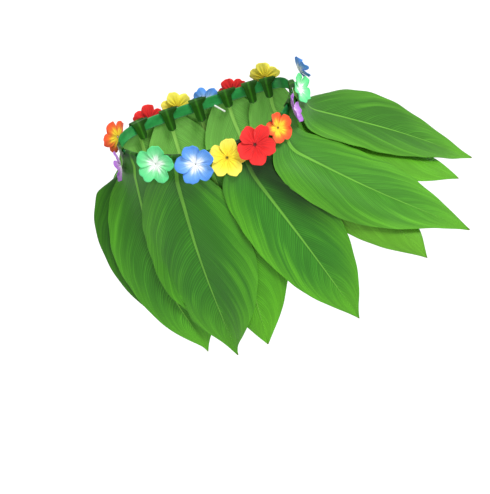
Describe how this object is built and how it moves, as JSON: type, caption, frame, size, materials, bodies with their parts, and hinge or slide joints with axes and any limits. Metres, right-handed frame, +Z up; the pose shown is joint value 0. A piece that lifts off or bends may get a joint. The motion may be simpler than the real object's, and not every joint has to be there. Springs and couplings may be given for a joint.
{
  "type": "ti leaf skirt",
  "caption": "Hollow waist skirt of long pointed green cloth leaves folded over a satin waistband ring, with five-petal cloth flowers round the outside.",
  "frame": {"origin": "middle of the waist opening, half way up the waistband, where the wearer's waist holds it", "axes": "+Z up along the wearer, +X towards the side whose leaves spread out, -Y the front"},
  "size_m": [0.5033, 0.2421, 0.3215],
  "materials": {
    "ribbon": "green satin ribbon",
    "leaf": "printed green cloth leaf, satin upper side with fine curved veins, paler matte underside",
    "petal_green": "light green cloth petals, white star at the middle",
    "petal_blue": "light blue cloth petals, white streaks at the middle",
    "petal_yellow": "yellow cloth petals",
    "petal_red": "red cloth petals, dark middle",
    "petal_orange": "orange cloth petals, yellow star at the middle",
    "petal_purple": "pale purple cloth petals, white at the middle",
    "pin": "white plastic"
  },
  "bodies": {
    "root": {"waistband": "ribbon", "leaf_back_1": "leaf", "leaf_back_2": "leaf", "leaf_back_3": "leaf", "leaf_back_4": "leaf", "leaf_back_5": "leaf", "leaf_back_6": "leaf", "leaf_front_1": "leaf", "leaf_front_2": "leaf", "leaf_front_3": "leaf", "leaf_front_4": "leaf", "leaf_front_5": "leaf", "leaf_front_6": "leaf", "leaf_front_7": "leaf", "leaf_front_8": "leaf", "leaf_front_9": "leaf", "flower_01_blue": "petal_blue", "flower_02_yellow": "petal_yellow", "flower_03_red": "petal_red", "flower_04_blue": "petal_blue", "flower_05_yellow": "petal_yellow", "flower_06_red": "petal_red", "flower_07_orange": "petal_orange", "flower_08_purple": "petal_purple", "flower_09_green": "petal_green", "flower_10_blue": "petal_blue", "flower_11_yellow": "petal_yellow", "flower_12_red": "petal_red", "flower_13_orange": "petal_orange", "flower_14_purple": "petal_purple", "flower_15_green": "petal_green", "fixing_pin": "pin"}
  },
  "joints": []
}
